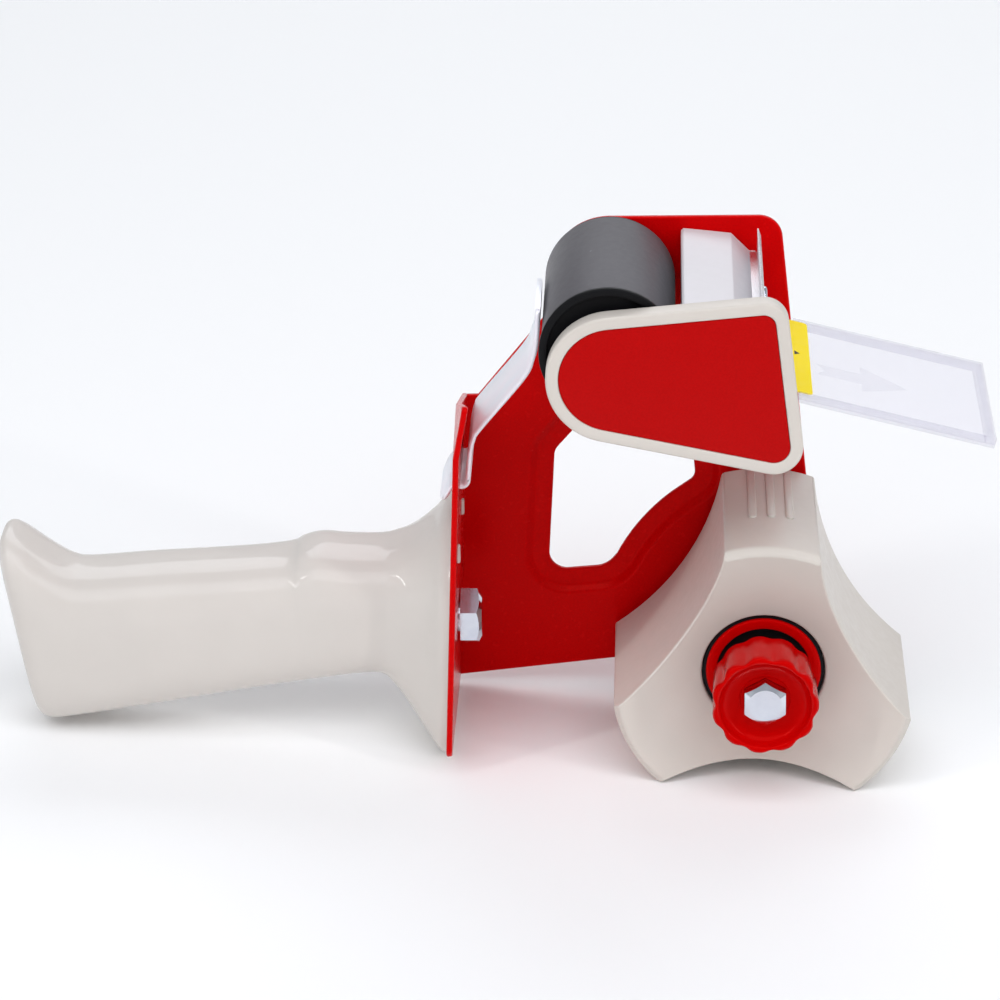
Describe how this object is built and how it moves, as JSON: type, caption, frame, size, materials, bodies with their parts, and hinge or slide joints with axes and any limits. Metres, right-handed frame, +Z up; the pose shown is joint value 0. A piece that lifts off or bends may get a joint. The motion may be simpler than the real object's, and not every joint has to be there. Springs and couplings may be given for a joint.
{
  "type": "tape dispenser",
  "caption": "Hand-held packing-tape dispenser: steel side frame with grip, tape hub with tension knob, rubber roller with brake strap, serrated blade behind a guard, and a clear hinged flap.",
  "frame": {"origin": "on the surface the gun is set down on, under the middle of its bounding box", "axes": "+X from the handle towards the blade, +Y towards the steel side plate along the hub's axle, +Z up"},
  "size_m": [0.2414, 0.0706, 0.1324],
  "materials": {
    "red_paint": "gloss red paint on steel sheet",
    "panel_paint": "red paint with a fine orange-peel texture",
    "red_plastic": "glossy moulded red plastic",
    "ivory_plastic": "satin off-white moulded plastic",
    "gloss_ivory": "high-gloss off-white moulded plastic",
    "grey_rubber": "dark grey rubber",
    "black_plastic": "black moulded plastic",
    "zinc_plate": "bright zinc-plated steel",
    "zinc_strap": "zinc-plated spring steel with a faint rainbow tint",
    "blade_steel": "ground steel",
    "clear_plastic": "clear moulded plastic",
    "yellow_label": "printed yellow sticker"
  },
  "bodies": {
    "frame": {"side_frame": "red_paint", "handle_grip": "gloss_ivory", "handle_bolt": "zinc_plate", "handle_nut": "zinc_plate", "roller_axle": "zinc_plate", "side_guard": "ivory_plastic", "guard_panel": "panel_paint", "guard_screw_1": "zinc_plate", "guard_screw_2": "zinc_plate", "guard_screw_3": "zinc_plate", "blade_holder": "ivory_plastic", "cutting_blade": "blade_steel", "blade_screw_1": "zinc_plate", "blade_screw_2": "zinc_plate", "holder_screw_1": "zinc_plate", "holder_screw_2": "zinc_plate", "flap_pin": "zinc_plate", "axle_sleeve": "zinc_plate", "axle_nut": "zinc_plate", "brake_disc": "red_plastic", "tension_spring": "zinc_plate"},
    "hub": {"tape_hub": "ivory_plastic"},
    "roller": {"roller_sleeve": "grey_rubber", "roller_core": "black_plastic"},
    "brake": {"brake_strap": "zinc_strap"},
    "flap": {"guard_flap": "clear_plastic", "flap_label": "yellow_label"},
    "washer": {"spring_washer": "zinc_plate"},
    "knob": {"tension_knob": "red_plastic", "tension_bolt": "zinc_plate"}
  },
  "joints": [
    {"name": "hub_spin", "type": "hinge", "parent": "frame", "child": "hub", "pos_m": [0.0693, -0.00125, 0.02791], "axis": [0, 1, 0], "continuous": true},
    {"name": "roller_spin", "type": "hinge", "parent": "frame", "child": "roller", "pos_m": [0.02734, -0.00125, 0.11523], "axis": [0, 1, 0], "continuous": true},
    {"name": "brake_swing", "type": "hinge", "parent": "frame", "child": "brake", "pos_m": [-0.0075, -0.00125, 0.07274], "axis": [0, 1, 0], "range_deg": [-8, 0]},
    {"name": "flap_swing", "type": "hinge", "parent": "frame", "child": "flap", "pos_m": [0.06759, -0.00125, 0.10662], "axis": [0, 1, 0], "range_deg": [-40, 0]},
    {"name": "tension_slide", "type": "slide", "parent": "frame", "child": "washer", "axis": [0, 1, 0], "range_m": [-0.002, 0.001], "deforming": ["tension_spring"]},
    {"name": "tension_turn", "type": "hinge", "parent": "washer", "child": "knob", "pos_m": [0.0693, -0.00125, 0.02791], "axis": [0, 1, 0], "range_deg": [-721, 361]}
  ],
  "couplings": [
    {"joint": "tension_turn", "follows": "tension_slide", "rad_per_m": 6283.2}
  ]
}
